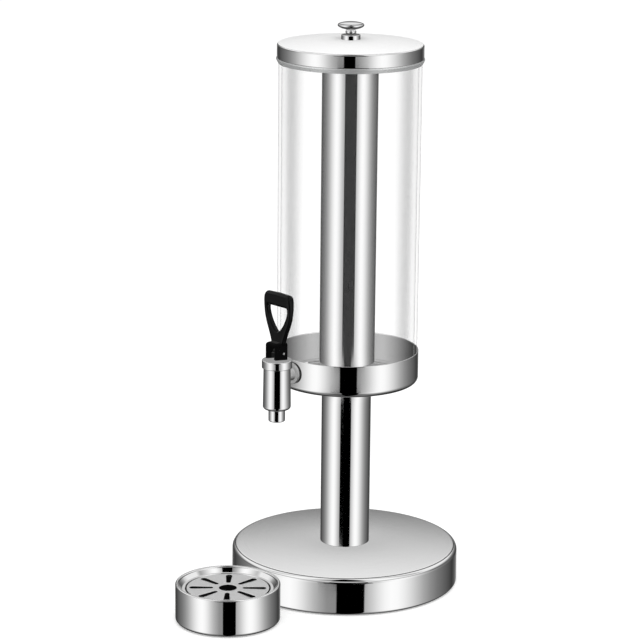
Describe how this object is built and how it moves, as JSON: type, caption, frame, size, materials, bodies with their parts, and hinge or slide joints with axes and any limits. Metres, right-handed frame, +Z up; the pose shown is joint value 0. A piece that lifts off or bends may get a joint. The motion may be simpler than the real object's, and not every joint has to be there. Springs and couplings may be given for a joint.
{
  "type": "buffet beverage dispenser",
  "caption": "Drinks dispenser: clear upright vessel in a steel pan on a column and round base, with an ice tube, lift-off lid, pull tap and a separate drip tray.",
  "frame": {"origin": "on the table, under the column's axis, at the middle of the base's rubber mat", "axes": "+Z up along the column, the tap points along -Y, +X to the right of someone who faces the tap"},
  "size_m": [0.23, 0.3371, 0.5715],
  "materials": {
    "polished_steel": "polished",
    "satin_steel": "satin",
    "plain_steel": "plain",
    "cast_weight": "painted",
    "clear_plastic": "clear",
    "hazy_silicone": "translucent",
    "black_rubber": "matt",
    "white_plastic": "satin",
    "chromed_tap": "chromed",
    "black_plastic": "gloss"
  },
  "bodies": {
    "frame": {"base_shell": "polished_steel", "column_tube": "polished_steel", "pan": "polished_steel", "base_plate": "satin_steel", "tie_rod": "plain_steel", "rod_washer": "plain_steel", "rod_nut": "plain_steel", "plate_screws": "plain_steel", "valve_spring": "plain_steel", "column_plug_low": "plain_steel", "column_plug_top": "plain_steel", "base_weight": "cast_weight", "vessel": "clear_plastic", "rim_gasket": "hazy_silicone", "base_mat": "black_rubber", "tap_outer_washer": "black_rubber", "tap_inner_washer": "black_rubber", "seat_oring": "black_rubber", "guide_oring": "black_rubber", "clamp_boss": "white_plastic", "stem_guide": "white_plastic", "floor_gasket": "white_plastic", "tap_barrel": "chromed_tap", "bonnet_ring": "chromed_tap", "spout": "chromed_tap", "tap_lock_nut": "chromed_tap"},
    "ice_tube": {"ice_tube": "polished_steel", "ice_tube_cap": "satin_steel"},
    "lid": {"lid_shell": "polished_steel", "lid_knob": "polished_steel", "knob_washer": "plain_steel", "knob_screw": "plain_steel"},
    "valve": {"valve_stem": "black_plastic", "seat_cup": "black_rubber", "handle_pin": "plain_steel"},
    "handle": {"handle": "black_plastic"},
    "tray": {"tray_cup": "polished_steel", "tray_mat": "black_rubber"},
    "grate": {"tray_grate": "satin_steel"}
  },
  "joints": [
    {"name": "ice_tube_lift", "type": "slide", "parent": "frame", "child": "ice_tube", "axis": [0, 0, 1], "range_m": [0, 0.33]},
    {"name": "lid_lift", "type": "slide", "parent": "ice_tube", "child": "lid", "axis": [0, 0, 1], "range_m": [0, 0.12]},
    {"name": "stem_lift", "type": "slide", "parent": "frame", "child": "valve", "axis": [0, 0, 1], "range_m": [0, 0.0031], "stiffness_N_per_m": 20, "springref_m": -0.01, "deforming": ["valve_spring"]},
    {"name": "handle_tilt", "type": "hinge", "parent": "valve", "child": "handle", "pos_m": [0, -0.0923, 0.2544], "axis": [1, 0, 0], "range_deg": [0, 35]},
    {"name": "tray_lift", "type": "slide", "parent": "frame", "child": "tray", "axis": [0, 0, 1], "range_m": [0, 0.15]},
    {"name": "grate_lift", "type": "slide", "parent": "tray", "child": "grate", "axis": [0, 0, 1], "range_m": [0, 0.08]}
  ],
  "couplings": [
    {"joint": "stem_lift", "follows": "handle_tilt", "m_per_rad": 0.005}
  ]
}
